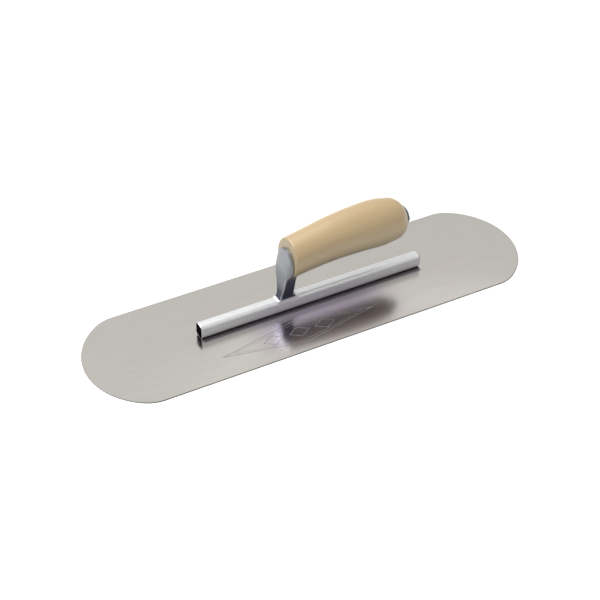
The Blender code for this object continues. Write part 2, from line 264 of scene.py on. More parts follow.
# Colours of the mounting: ground bar, skin of the post from low to high with painted shade at
# its foot, painted shade on the post's sides, painted highlight on its corners, near-black bar ends
GROUND_TINTS = ((0.64, 0.65, 0.66), (0.70, 0.71, 0.72))
GROUND_LINE = (0.56, 0.57, 0.59)
SKIN_AND_FOOT_SHADE = ((0.078, 0.09, 0.118), (0.28, 0.29, 0.31))
PAINTED_SIDE_SHADE = (0.05, 0.055, 0.075)
PAINTED_CORNER_HIGHLIGHT = (0.60, 0.61, 0.64)
BAR_END_BLACKS = ((0.002, 0.002, 0.002), (0.008, 0.008, 0.008))

# Colours of the wood; the last is painted shade for its underside
WOOD_TINTS = ((0.375, 0.26, 0.115), (0.41, 0.29, 0.13))
WOOD_GROWTH = (0.35, 0.25, 0.125)
WOOD_STREAK = (0.32, 0.225, 0.11)
WOOD_FLECK = (0.37, 0.225, 0.125)
WOOD_PORE = (0.29, 0.17, 0.085)
WOOD_END_GRAIN = (0.26, 0.19, 0.10)
WOOD_UNDER_SHADE = (0.10, 0.095, 0.055)

# Colours of the plated parts, the rivets and the floor
ZINC_TINTS = ((0.13, 0.16, 0.18), (0.22, 0.26, 0.29))
RIVET_TINTS = ((0.33, 0.325, 0.32), (0.41, 0.405, 0.40))
RIVET_STAIN = (0.25, 0.24, 0.225)
FLOOR_TINTS = ((0.86, 0.86, 0.85), (0.88, 0.88, 0.87))

# Light of the room: sine of the height above the horizon, brightness
WORLD_LEVELS = (
    (0.0, 0.92),
    (0.12, 0.75),
    (0.30, 0.42),
    (0.46, 0.91),
    (0.64, 0.98),
    (0.80, 1.25),
    (0.97, 0.60),
)
WORLD_TINT = (1.0, 0.985, 0.97)
WORLD_BRIGHT = (0.468, 0.884)         # where the bright wall behind stands; one in front mirrors it
WORLD_DIM = 0.32                      # brightness of the sides of the room
WORLD_WALL_EDGES = (-0.05, 0.42)      # how far a ray points there where it is dim, and bright
WORLD_HORIZON = (0.05, 0.22)          # the bright band all round fades between these sines

# Key lamp and floor, in metres and watts
KEY_DIRECTION = (-0.52, 0.48, 1.0)
KEY_DISTANCE = 3.2
KEY_SIZE = 1.6
KEY_POWER = 124.0
FLOOR_HALF_SIZE = 6.0
FLOOR_GAP = 0.02 * MM


# ---------------------------------------------------------------- mesh helpers

def spread(low, high, count):
    """Evenly spaced values from low to high, both included."""
    return [low + (high - low) * i / (count - 1) for i in range(count)]


def arc(centre_x, centre_y, radius, start, end, count):
    """Points on a stretch of a circle, both ends included."""
    points = []
    for angle in spread(start, end, count):
        x = centre_x + radius * math.cos(angle)
        points.append((x, centre_y + radius * math.sin(angle)))
    return points


def smooth_value(stations, where, column):
    """Smooth curve through one column of a table whose first column is the distance."""
    last = len(stations) - 1
    where = min(max(where, stations[0][0]), stations[last][0])
    k = 0
    while k < last - 1 and where > stations[k + 1][0]:
        k += 1

    def slope(i):
        """Slope of the curve at one row of the table."""
        low = max(i - 1, 0)
        high = min(i + 1, last)
        rise = stations[high][column] - stations[low][column]
        return rise / (stations[high][0] - stations[low][0])

    span = stations[k + 1][0] - stations[k][0]
    t = (where - stations[k][0]) / span
    start_value = stations[k][column] * (1.0 + 2.0 * t) * (1.0 - t) ** 2
    end_value = stations[k + 1][column] * t * t * (3.0 - 2.0 * t)
    start_slope = slope(k) * span * t * (1.0 - t) ** 2
    end_slope = slope(k + 1) * span * t * t * (t - 1.0)
    return start_value + end_value + start_slope + end_slope


def finish_shading(obj, sharp_angle=30.0):
    """Shade smooth, except across edges that turn by more than this many degrees."""
    obj.data.shade_smooth()
    obj.data.set_sharp_from_angle(angle=math.radians(sharp_angle))
    return obj


def make_object(name, skin, sharp_angle=30.0):
    """Turn a finished skin into an object of the scene."""
    bmesh.ops.recalc_face_normals(skin, faces=skin.faces)
    mesh = bpy.data.meshes.new(name)
    skin.to_mesh(mesh)
    skin.free()
    obj = bpy.data.objects.new(name, mesh)
    bpy.context.scene.collection.objects.link(obj)
    return finish_shading(obj, sharp_angle)


def loft(rings):
    """Closed skin over rings that all have the same number of points."""
    skin = bmesh.new()
    loops = [[skin.verts.new(point) for point in ring] for ring in rings]
    for lower, upper in zip(loops, loops[1:]):
        for i in range(len(lower)):
            j = (i + 1) % len(lower)
            skin.faces.new((lower[i], lower[j], upper[j], upper[i]))
    skin.faces.new(loops[0])
    skin.faces.new(list(reversed(loops[-1])))
    return skin


def turned_rings(profile, start, axis, segments):
    """Rings at (distance, radius) pairs about an axis that starts at a point."""
    turn = Vector((1.0, 0.0, 0.0)).rotation_difference(axis).to_matrix()
    rings = []
    for distance, radius in profile:
        ring = []
        for i in range(segments):
            angle = 2.0 * HALF_TURN * i / segments
            local = Vector((distance, radius * math.cos(angle), radius * math.sin(angle)))
            ring.append(start + turn @ local)
        rings.append(ring)
    return rings


def turned(profile, start, axis, segments):
    """Revolve (distance, radius) pairs about an axis that starts at a point."""
    return loft(turned_rings(profile, start, axis, segments))


def apply_boolean(target, cutter, operation):
    """Boolean the cutter into the target for good, and remove the cutter."""
    modifier = target.modifiers.new(operation.title(), "BOOLEAN")
    modifier.operation = operation
    modifier.solver = "EXACT"
    modifier.object = cutter
    graph = bpy.context.evaluated_depsgraph_get()
    result = bpy.data.meshes.new_from_object(target.evaluated_get(graph))
    target.modifiers.clear()
    old = target.data
    target.data = result
    bpy.data.meshes.remove(old)
    bpy.data.objects.remove(cutter, do_unlink=True)


def place_piece(obj, nodes, slot, *materials):
    obj.data.materials.clear()
    for material in materials:
        obj.data.materials.append(material)
    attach(obj, "root")
    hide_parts(*nodes)


# ---------------------------------------------------------------- blade and rivets

def rivet_places():
    """Middles of the rivets along X, read from the frame."""
    places = []
    number = 1
    while f"rivet_{number}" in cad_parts:
        low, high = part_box(f"rivet_{number}")
        places.append((low.x + high.x) / 2.0)
        number += 1
    return places


def blade_outline(inset):
    """Rounded ends, blend arcs and straight sides, drawn in by an inset."""
    low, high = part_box("blade")
    half_length = (high.x - low.x) / 2.0
    half_width = (high.y - low.y) / 2.0
    end_centre = half_length - BLADE_END_RADIUS
    blend_y = half_width - BLADE_CORNER_RADIUS
    reach = BLADE_END_RADIUS - BLADE_CORNER_RADIUS
    blend_x = end_centre + math.sqrt(reach ** 2 - blend_y ** 2)
    turn = math.atan2(blend_y, blend_x - end_centre)
    quarter = arc(end_centre, 0.0, BLADE_END_RADIUS - inset, 0.0, turn, 48)
    corner = BLADE_CORNER_RADIUS - inset
    quarter += arc(blend_x, blend_y, corner, turn, QUARTER_TURN, 20)[1:]
    upper = quarter + [(-x, y) for x, y in reversed(quarter)]
    lower = [(x, -y) for x, y in reversed(upper[1:-1])]
    return upper + lower


def make_blade():
    """Thin plate with softly rounded edges and a countersunk hole for each rivet."""
    low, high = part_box("blade")
    r = BLADE_EDGE_ROUND
    rings = []
    rounds = ((low.z + r, -QUARTER_TURN, 0.0), (high.z - r, 0.0, QUARTER_TURN))
    for middle, start, end in rounds:
        for angle in spread(start, end, BLADE_EDGE_CUTS):
            inset = r * (1.0 - math.cos(angle))
            z = middle + r * math.sin(angle)
            rings.append([Vector((x, y, z)) for x, y in blade_outline(inset)])
    blade = make_object("blade_plate", loft(rings))
    up = Vector((0.0, 0.0, 1.0))
    slope = (RIVET_HEAD_RADIUS - RIVET_RADIUS) / (high.z - low.z)
    spare = 0.2 * MM
    profile = (
        (-spare, RIVET_HEAD_RADIUS + RIVET_SEAM + slope * spare),
        (high.z - low.z, RIVET_RADIUS + RIVET_SEAM),
        (high.z - low.z + spare, RIVET_RADIUS + RIVET_SEAM),
    )
    for place in rivet_places():
        hole = turned(profile, Vector((place, 0.0, low.z)), up, RIVET_SEGMENTS)
        apply_boolean(blade, make_object("hole", hole), "DIFFERENCE")
    add_brush_map(blade)
    finish_shading(blade)
    keep_faces_flat(blade)
    return blade


def keep_faces_flat(obj):
    """Mark the rims of the level faces as sharp, so that no rounding shades into them."""
    skin = bmesh.new()
    skin.from_mesh(obj.data)
    level = {face.index for face in skin.faces if abs(face.normal.z) > LEVEL_NORMAL}
    for edge in skin.edges:
        sides = [face.index in level for face in edge.link_faces]
        if any(sides) and not all(sides):
            edge.smooth = False
    skin.to_mesh(obj.data)
    skin.free()


def add_brush_map(obj):
    """UV map whose U runs across the brushing, so that highlights stretch that way."""
    mesh = obj.data
    layer = mesh.uv_layers.new(name="brush")
    for loop in mesh.loops:
        point = mesh.vertices[loop.vertex_index].co
        layer.data[loop.index].uv = (point.y * BRUSH_MAP_SCALE, point.x * BRUSH_MAP_SCALE)


def make_rivet(number, place):
    """Countersunk rivet, its head ground flush and left with a shallow dimple."""
    low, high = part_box(f"rivet_{number}")
    blade_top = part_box("blade")[1].z
    dimple_z = low.z + RIVET_DIMPLE_DEPTH
    edge = RIVET_HEAD_EDGE
    profile = (
        (dimple_z, RIVET_CENTRE_MARK),
        (dimple_z, RIVET_DIMPLE_FLOOR),
        (low.z, RIVET_DIMPLE_RIM),
        (low.z, RIVET_HEAD_RADIUS - edge),
        (low.z + edge, RIVET_HEAD_RADIUS - edge / 2.0),
        (blade_top, RIVET_RADIUS),
        (high.z - 0.6 * MM, RIVET_RADIUS),
        (high.z - 0.15 * MM, RIVET_RADIUS - 0.3 * MM),
        (high.z, RIVET_RADIUS - 0.8 * MM),
    )
    start = Vector((place, 0.0, 0.0))
    body = turned(profile, start, Vector((0.0, 0.0, 1.0)), RIVET_SEGMENTS)
    return make_object(f"rivet_body_{number}", body)


# ---------------------------------------------------------------- mounting

def bar_ring(x, inset):
    """Rounded rectangle across the bar, drawn in by inset all round."""
    radius = BAR_EDGE_RADIUS - inset
    half = BAR_WIDTH / 2.0 - inset - radius
    low = BAR_BOTTOM + inset + radius
    high = BAR_TOP - inset - radius
    corners = ((half, high), (-half, high), (-half, low), (half, low))
    ring = []
    for number, (y, z) in enumerate(corners):
        start = number * QUARTER_TURN
        for point in arc(y, z, radius, start, start + QUARTER_TURN, BAR_CORNER_CUTS):
            ring.append(Vector((x, *point)))
    return ring


def make_bar():
    """The long bar, with its end faces rounded over."""
    steps = spread(0.0, QUARTER_TURN, BAR_END_CUTS)
    insets = [BAR_END_RADIUS * (1.0 - math.sin(angle)) for angle in steps]
    depths = [BAR_END_RADIUS * (1.0 - math.cos(angle)) for angle in steps]
    rings = [bar_ring(BAR_FRONT + depth, inset) for depth, inset in zip(depths, insets)]
    back = [bar_ring(BAR_REAR - depth, inset) for depth, inset in zip(depths, insets)]
    return loft(rings + back[::-1])


def fillet(height, radius):
    """How far a fillet of this radius stands out at a height above the bar."""
    if height >= radius:
        return 0.0
    rest = radius - max(height, 0.0)
    return radius - math.sqrt(radius ** 2 - rest ** 2)


def section(z, front, rear, half_width, corner_depth, corner_width, rear_radius):
    """Level cut through the post or head: elliptic front corners, round rear corners."""
    ring = []
    for angle in spread(0.0, QUARTER_TURN, 24):
        x = front + corner_depth * (1.0 - math.cos(angle))
        ring.append((x, -(half_width - corner_width * (1.0 - math.sin(angle)))))
    for angle in spread(0.0, QUARTER_TURN, 10):
        x = rear - rear_radius * (1.0 - math.sin(angle))
        ring.append((x, -(half_width - rear_radius * (1.0 - math.cos(angle)))))
    mirrored = [(x, -y) for x, y in reversed(ring)]
    return [Vector((x, y, z)) for x, y in ring + mirrored]


def post_levels():
    """Heights of the cuts through the post: close in the fillet and at the round top."""
    buried = BAR_TOP - BAR_EDGE_RADIUS - 1.0 * MM
    levels = [buried, BAR_TOP - BAR_EDGE_RADIUS / 2.0]
    levels += [BAR_TOP + FILLET_REAR * share ** 2 for share in spread(0.0, 1.0, FILLET_CUTS + 1)]
    levels += spread(BAR_TOP + FILLET_REAR, HEAD_CENTRE_Z, POST_CUTS)[1:]
    for angle in spread(0.0, HEAD_TOP_ANGLE, HEAD_CUTS)[1:]:
        levels.append(HEAD_CENTRE_Z + HEAD_RADIUS * math.sin(angle))
    return levels


def post_half_width(z):
    """The wider of the tapering post and the round head, smoothed where they meet."""
    offset = z - HEAD_CENTRE_Z
    disc = math.sqrt(max(HEAD_RADIUS ** 2 - offset ** 2, 0.0))
    if offset >= 0.0:
        return disc
    post = smooth_value(POST_HALF_WIDTH, z, 1)
    return (post ** HEAD_JOIN_POWER + disc ** HEAD_JOIN_POWER) ** (1.0 / HEAD_JOIN_POWER)


def make_post():
    """Leaning post that widens from the bar up to the round head."""
    rings = []
    for z in post_levels():
        above = z - BAR_TOP
        crown = min(max((z - CROWN_START) / (CROWN_FULL - CROWN_START), 0.0), 1.0)
        crown = crown * crown * (3.0 - 2.0 * crown)
        front = smooth_value(POST_FRONT, z, 1)
        half_width = post_half_width(z)
        corner = min(POST_CORNER_RADIUS, half_width * POST_CORNER_SHARE)
        crown_depth = max(HEAD_RIM_FRONT - front, CROWN_LEAST_DEPTH)
        depth = corner + (crown_depth - corner) * crown
        width = corner + (half_width * CROWN_WIDTH_SHARE - corner) * crown
        front -= fillet(above, FILLET_FRONT)
        rear = POST_REAR + fillet(above, FILLET_REAR)
        rear_corner = corner * REAR_CORNER_SHARE
        rings.append(section(z, front, rear, half_width, depth, width, rear_corner))
    return loft(rings)


def make_mounting():
    """Bar, post, head and tenon in one, cut to the wood and bored for the rod."""
    mounting = make_object("mounting_casting", make_bar())
    apply_boolean(mounting, make_object("post_form", make_post()), "UNION")
    wood = make_object("wood_form", loft(handle_rings(WOOD_GAP, CUTTER_SEGMENTS)))
    apply_boolean(mounting, wood, "DIFFERENCE")
    spare = 1.0 * MM
    tenon_profile = ((-2.0 * spare, TENON_RADIUS), (TENON_LENGTH, TENON_RADIUS))
    tenon = turned(tenon_profile, ROD_START, ROD_AXIS, ROD_SEGMENTS)
    apply_boolean(mounting, make_object("tenon_form", tenon), "UNION")
    bore_radius = ROD_RADIUS + WOOD_GAP
    bore_profile = ((-WOOD_GAP, bore_radius), (TENON_LENGTH + WOOD_GAP, bore_radius))
    bore = turned(bore_profile, ROD_START, ROD_AXIS, ROD_SEGMENTS)
    apply_boolean(mounting, make_object("bore_form", bore), "DIFFERENCE")
    up = Vector((0.0, 0.0, 1.0))
    hole_radius = RIVET_RADIUS + RIVET_SEAM
    for number, place in enumerate(rivet_places(), start=1):
        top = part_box(f"rivet_{number}")[1].z + RIVET_SEAM
        profile = ((BAR_BOTTOM - spare, hole_radius), (top, hole_radius))
        hole = turned(profile, Vector((place, 0.0, 0.0)), up, RIVET_SEGMENTS)
        apply_boolean(mounting, make_object("rivet_hole", hole), "DIFFERENCE")
    return finish_shading(mounting, MOUNTING_SHARP_ANGLE)


def mark_bar_ends(mounting):
    """Give the bar's two end faces the second material slot."""
    reach = 1.0 * MM
    for face in mounting.data.polygons:
        at_end = face.center.x < BAR_FRONT + reach or face.center.x > BAR_REAR - reach
        if at_end and abs(face.normal.x) > END_FACE_NORMAL:
            face.material_index = 1


# ---------------------------------------------------------------- handle

def handle_rings(grow, segments):
    """Round rings along the wood: a rounded front edge, a hump and a domed rear end."""
    first = FACE_X
    last = HANDLE_STATIONS[-1][0]
    places = []
    for angle in spread(0.0, QUARTER_TURN, HANDLE_EDGE_CUTS):
        x = first + HANDLE_EDGE_RADIUS * (1.0 - math.cos(angle))
        inset = HANDLE_EDGE_RADIUS * (1.0 - math.sin(angle))
        places.append((x, smooth_value(HANDLE_STATIONS, x, 1) - inset))
    for x in spread(first + HANDLE_EDGE_RADIUS, last, HANDLE_CUTS)[1:]:
        places.append((x, smooth_value(HANDLE_STATIONS, x, 1)))
    dome = HANDLE_REAR - last
    end_slope = HANDLE_STATIONS[-1][1] - HANDLE_STATIONS[-2][1]
    end_slope *= dome / (last - HANDLE_STATIONS[-2][0])
    end_radius = HANDLE_STATIONS[-1][1]
    for angle in spread(0.0, QUARTER_TURN, DOME_CUTS)[1:]:
        t = math.sin(angle)
        radius = HANDLE_END_RADIUS + (end_radius - HANDLE_END_RADIUS) * math.cos(angle)
        places.append((last + dome * t, radius + end_slope * t * (1.0 - t)))
    rings = []
    centre_line = HANDLE_STATIONS + ((HANDLE_REAR, HANDLE_END_RADIUS, HANDLE_END_Z),)
    for x, radius in places:
        middle = smooth_value(centre_line, x, 2)
        lean = math.tan(FACE_LEAN) * max(1.0 - (x - first) / HANDLE_LEAN_REACH, 0.0)
        shift = -grow if x < last else grow
        ring = []
        for y, z in arc(0.0, middle, radius + grow, 0.0, 2.0 * HALF_TURN, segments + 1)[:-1]:
            ring.append(Vector((x + shift + (z - middle) * lean, y, z)))
        rings.append(ring)
    return rings


def make_handle():
    """Turned wood with a stepped bore for the tenon and the rod and a seat for the washer."""
    handle = make_object("handle_wood", loft(handle_rings(0.0, HANDLE_SEGMENTS)))
    wide = TENON_RADIUS + WOOD_GAP
    narrow = ROD_RADIUS + WOOD_GAP
    step = TENON_LENGTH + WOOD_GAP
    spare = 5.0 * MM
    profile = (
        (-spare, wide),
        (step, wide),
        (step, narrow),
        (SEAT_DISTANCE, narrow),
        (SEAT_DISTANCE, SEAT_RADIUS),
        (SEAT_DISTANCE + 2.0 * spare, SEAT_RADIUS),
    )
    bore = turned(profile, ROD_START, ROD_AXIS, CUTTER_SEGMENTS)
    apply_boolean(handle, make_object("handle_bore", bore), "DIFFERENCE")
    return finish_shading(handle, HANDLE_SHARP_ANGLE)


# ---------------------------------------------------------------- rod, washer and nut

def make_rod():
    """Rod with chamfered ends and a threaded rear end."""
    end = SEAT_DISTANCE + 2.0 * PLATE_GAP + WASHER_THICKNESS + NUT_HEIGHT + ROD_STICK_OUT
    turn = Vector((1.0, 0.0, 0.0)).rotation_difference(ROD_AXIS).to_matrix()
    thread_start = end - THREAD_LENGTH
    plain_end = thread_start - 3.0 * MM
    distances = [0.0, ROD_CHAMFER] + spread(plain_end, end, THREAD_CUTS)
    rings = []
    for distance in distances:
        ring = []
        run_in = min(max((distance - thread_start) / (2.0 * THREAD_PITCH), 0.0), 1.0)
        past = max(distance - (end - ROD_CHAMFER), ROD_CHAMFER - distance, 0.0)
        for i in range(ROD_SEGMENTS):
            angle = 2.0 * HALF_TURN * i / ROD_SEGMENTS
            phase = (distance / THREAD_PITCH - i / ROD_SEGMENTS) % 1.0
            groove = THREAD_DEPTH * abs(2.0 * phase - 1.0) * run_in
            radius = min(ROD_RADIUS - groove, ROD_RADIUS - past)
            local = Vector((distance, radius * math.cos(angle), radius * math.sin(angle)))
            ring.append(ROD_START + turn @ local)
        rings.append(ring)
    return make_object("threaded_rod", loft(rings), ROD_SHARP_ANGLE)


def ring_of(profile, segments):
    """Closed ring from a profile loop of (distance, radius) pairs about the rod's axis."""
    rings = turned_rings(profile, ROD_START, ROD_AXIS, segments)
    skin = bmesh.new()
    loops = [[skin.verts.new(point) for point in ring] for ring in rings]
    for lower, upper in zip(loops, loops[1:] + loops[:1]):
        for i in range(segments):
            j = (i + 1) % segments
            skin.faces.new((lower[i], lower[j], upper[j], upper[i]))
    return skin


def make_washer():
    """Flat washer with rolled edges."""
    start = SEAT_DISTANCE + PLATE_GAP
    end = start + WASHER_THICKNESS
    inner = ROD_RADIUS + PLATE_GAP
    edge = WASHER_EDGE_RADIUS
    profile = []
    corners = (
        (end - edge, WASHER_RADIUS - edge, 0.0),
        (start + edge, WASHER_RADIUS - edge, QUARTER_TURN),
        (start + edge, inner + edge, HALF_TURN),
        (end - edge, inner + edge, HALF_TURN + QUARTER_TURN),
    )
    for distance, radius, begin in corners:
        profile += arc(distance, radius, edge, begin, begin + QUARTER_TURN, WASHER_EDGE_CUTS)
    return make_object("washer_plate", ring_of(profile, CUTTER_SEGMENTS))


def make_nut():
    """Hexagon nut with chamfered corners on both faces and a countersunk bore."""
    start = SEAT_DISTANCE + 2.0 * PLATE_GAP + WASHER_THICKNESS
    end = start + NUT_HEIGHT
    corner_radius = NUT_ACROSS_FLATS / math.sqrt(3.0)
    hexagon = turned(((start, corner_radius), (end, corner_radius)), ROD_START, ROD_AXIS, 6)
    nut = make_object("hexagon_nut", hexagon)
    drop = NUT_CHAMFER * math.tan(NUT_CHAMFER_ANGLE)
    hair = 0.01 * MM
    blank_profile = (
        (start - hair, corner_radius - NUT_CHAMFER),
        (start + drop, corner_radius + hair),
        (end - drop, corner_radius + hair),
        (end + hair, corner_radius - NUT_CHAMFER),
    )
    blank = turned(blank_profile, ROD_START, ROD_AXIS, NUT_SEGMENTS)
    apply_boolean(nut, make_object("nut_blank", blank), "INTERSECT")
    bore = ROD_RADIUS + NUT_CLEARANCE
    sink = NUT_SINK
    spare = 1.0 * MM
    bore_profile = (
        (start - spare, bore + sink + spare),
        (start + sink, bore),
        (end - sink, bore),
        (end + spare, bore + sink + spare),
    )
    cutter = turned(bore_profile, ROD_START, ROD_AXIS, CUTTER_SEGMENTS)
    apply_boolean(nut, make_object("nut_bore", cutter), "DIFFERENCE")
    return finish_shading(nut, NUT_SHARP_ANGLE)


# ---------------------------------------------------------------- materials

class Nodes:
    """The nodes of one material or world, and the sums that both need."""

    def __init__(self, tree):
        self.nodes = tree.nodes
        self.links = tree.links

    def ranged(self, value, low, high, from_low=0.25, from_high=0.75, ease="LINEAR"):
        """Map a value onto the range low to high; a noise fills about the default span."""
        node = self.nodes.new("ShaderNodeMapRange")
        node.interpolation_type = ease
        node.inputs["From Min"].default_value = from_low
        node.inputs["From Max"].default_value = from_high
        node.inputs["To Min"].default_value = low
        node.inputs["To Max"].default_value = high
        self.links.new(value, node.inputs["Value"])
        return node.outputs["Result"]

    def maths(self, operation, *values):
        """One sum of numbers and sockets."""
        node = self.nodes.new("ShaderNodeMath")
        node.operation = operation
        for socket, value in zip(node.inputs, values):
            if isinstance(value, (int, float)):
                socket.default_value = value
            else:
                self.links.new(value, socket)
        return node.outputs["Value"]


class Surface(Nodes):
    """A node material whose patterns are laid out in millimetres of the shared frame."""

    def __init__(self, name, roughness, metallic):
        self.material = bpy.data.materials.new(name)
        self.material.use_nodes = True
        super().__init__(self.material.node_tree)
        self.shader = self.nodes["Principled BSDF"]
        self.constant("Roughness", roughness)
        self.constant("Metallic", metallic)
        self.coordinates = self.nodes.new("ShaderNodeTexCoord").outputs["Object"]

    def scaled(self, x, y, z):
        """Coordinates that count pattern cells: one cell is x, y and z millimetres long."""
        mapping = self.nodes.new("ShaderNodeMapping")
        mapping.inputs["Scale"].default_value = (1.0 / (x * MM), 1.0 / (y * MM), 1.0 / (z * MM))
        self.links.new(self.coordinates, mapping.inputs["Vector"])
        return mapping.outputs["Vector"]

    def noise(self, size, detail=2.0, roughness=0.5, distortion=0.0):
        """Noise whose cells have this size in millimetres."""
        node = self.nodes.new("ShaderNodeTexNoise")
        node.inputs["Scale"].default_value = 1.0
        node.inputs["Detail"].default_value = detail
        node.inputs["Roughness"].default_value = roughness
        node.inputs["Distortion"].default_value = distortion
        self.links.new(self.scaled(*size), node.inputs["Vector"])
        return node.outputs["Fac"]

    def blend(self, factor, first, second):
        """Mix two colours, each a tuple or a socket, by a factor socket."""
        node = self.nodes.new("ShaderNodeMix")
        node.data_type = "RGBA"
        self.links.new(factor, node.inputs[0])
        for socket, value in ((node.inputs[6], first), (node.inputs[7], second)):
            if isinstance(value, tuple):
                socket.default_value = (*value, 1.0)
            else:
                self.links.new(value, socket)
        return node.outputs[2]

    def position(self, axis):
        """One coordinate of the surface point, in millimetres."""
        node = self.nodes.new("ShaderNodeSeparateXYZ")
        self.links.new(self.scaled(1.0, 1.0, 1.0), node.inputs["Vector"])
        return node.outputs[axis]

    def normal_part(self, axis):
        """One component of the surface's normal in the frame."""
        geometry = self.nodes.new("ShaderNodeNewGeometry")
        node = self.nodes.new("ShaderNodeSeparateXYZ")
        self.links.new(geometry.outputs["Normal"], node.inputs["Vector"])
        return node.outputs[axis]

    def constant(self, name, value):
        """Set one input of the shader to the same value all over."""
        self.shader.inputs[name].default_value = value

    def colour(self, socket):
        self.links.new(socket, self.shader.inputs["Base Color"])

    def rough(self, socket):
        self.links.new(socket, self.shader.inputs["Roughness"])

    def metal(self, socket):
        self.links.new(socket, self.shader.inputs["Metallic"])

    def bump(self, heights):
        """Bump from (height pattern, depth in millimetres) pairs, the widest first."""
        normal = None
        for height, depth in heights:
            node = self.nodes.new("ShaderNodeBump")
            node.inputs["Strength"].default_value = 1.0
            node.inputs["Distance"].default_value = depth * MM
            self.links.new(height, node.inputs["Height"])
            if normal is not None:
                self.links.new(normal, node.inputs["Normal"])
            normal = node.outputs["Normal"]
        self.links.new(normal, self.shader.inputs["Normal"])


def top_side(surface):
    """One on the blade's top face, nothing on its underside."""
    return surface.ranged(surface.position("Z"), 0.0, 1.0, *TOP_SIDE)


def etched_mark(surface):
    """Etched ornament in front of the bar: a long double lozenge round three small ones."""
    x = surface.position("X")
    y = surface.position("Y")

    def lozenge(centre_x, half_length, half_width):
        """Nothing at a lozenge's middle, one all along its outline."""
        along = surface.maths("ABSOLUTE", surface.maths("SUBTRACT", x, centre_x))
        across = surface.maths("ABSOLUTE", surface.maths("SUBTRACT", y, ETCH_Y))
        return surface.maths("ADD", surface.maths("DIVIDE", along, half_length),
                             surface.maths("DIVIDE", across, half_width))

    def outline(reach, half_width, line):
        """One on the line where a lozenge's reach is one."""
        off = surface.maths("ABSOLUTE", surface.maths("SUBTRACT", reach, 1.0))
        width = line / half_width
        return surface.ranged(off, 1.0, 0.0, width * ETCH_CORE, width)

    half_length, half_width = ETCH_SIZE
    marks = outline(lozenge(ETCH_X, half_length, half_width), half_width, ETCH_LINE)
    inner_length, inner_width = ETCH_INNER_SHARES
    inner = lozenge(ETCH_X, half_length * inner_length, half_width * inner_width)
    inner_line = outline(inner, half_width, ETCH_LINE * ETCH_INNER_LINE)
    marks = surface.maths("MAXIMUM", marks, inner_line)
    small_length = ETCH_STEP * ETCH_SMALL_LENGTH
    small_width = half_width * ETCH_SMALL_WIDTH
    for step in (-1, 0, 1):
        small = lozenge(ETCH_X + step * ETCH_STEP, small_length, small_width)
        marks = surface.maths("MAXIMUM", marks, outline(small, small_width, ETCH_LINE))
    return surface.maths("MULTIPLY", marks, top_side(surface))


def along_bar(surface, full, none):
    """One beside the bar, fading smoothly to nothing between two distances from its middle."""
    middle = (BAR_FRONT + BAR_REAR) / 2.0 / MM
    off = surface.maths("ABSOLUTE", surface.maths("SUBTRACT", surface.position("X"), middle))
    fade = surface.ranged(off, 1.0, 0.0, full, none, "SMOOTHSTEP")
    return surface.maths("MULTIPLY", fade, top_side(surface))


def bar_contact_shadow(surface):
    """Painted contact shadow: a dark line on the blade where the bar meets it."""
    across = surface.maths("ABSOLUTE", surface.position("Y"))
    line = surface.ranged(across, CONTACT_SHADOW_STRENGTH, 0.0, *CONTACT_SHADOW_LINE)
    half_length = (BAR_REAR - BAR_FRONT) / 2.0 / MM
    full, none = [half_length - gap for gap in CONTACT_SHADOW_END_GAPS]
    return surface.maths("MULTIPLY", line, along_bar(surface, full, none))


def painted_reflection(surface):
    """Painted reflection of the handle: a faint dark bluish patch in front of the bar."""
    off = surface.maths("ABSOLUTE", surface.maths("SUBTRACT", surface.position("Y"), REFLECTION_Y))
    patch = surface.ranged(off, 1.0, 0.0, *REFLECTION_ACROSS)
    return surface.maths("MULTIPLY", patch, along_bar(surface, *REFLECTION_ALONG))


def blade_camber(surface):
    """Slight fall of the blade from the bar to its front edge, as a height from 1 down to 0."""
    fall = surface.ranged(surface.position("Y"), 1.0, 0.0, *CAMBER_REACH)
    fall = surface.maths("MULTIPLY", fall, fall)
    fall = surface.maths("MULTIPLY", fall, along_bar(surface, *CAMBER_ALONG))
    return surface.maths("SUBTRACT", 1.0, fall)


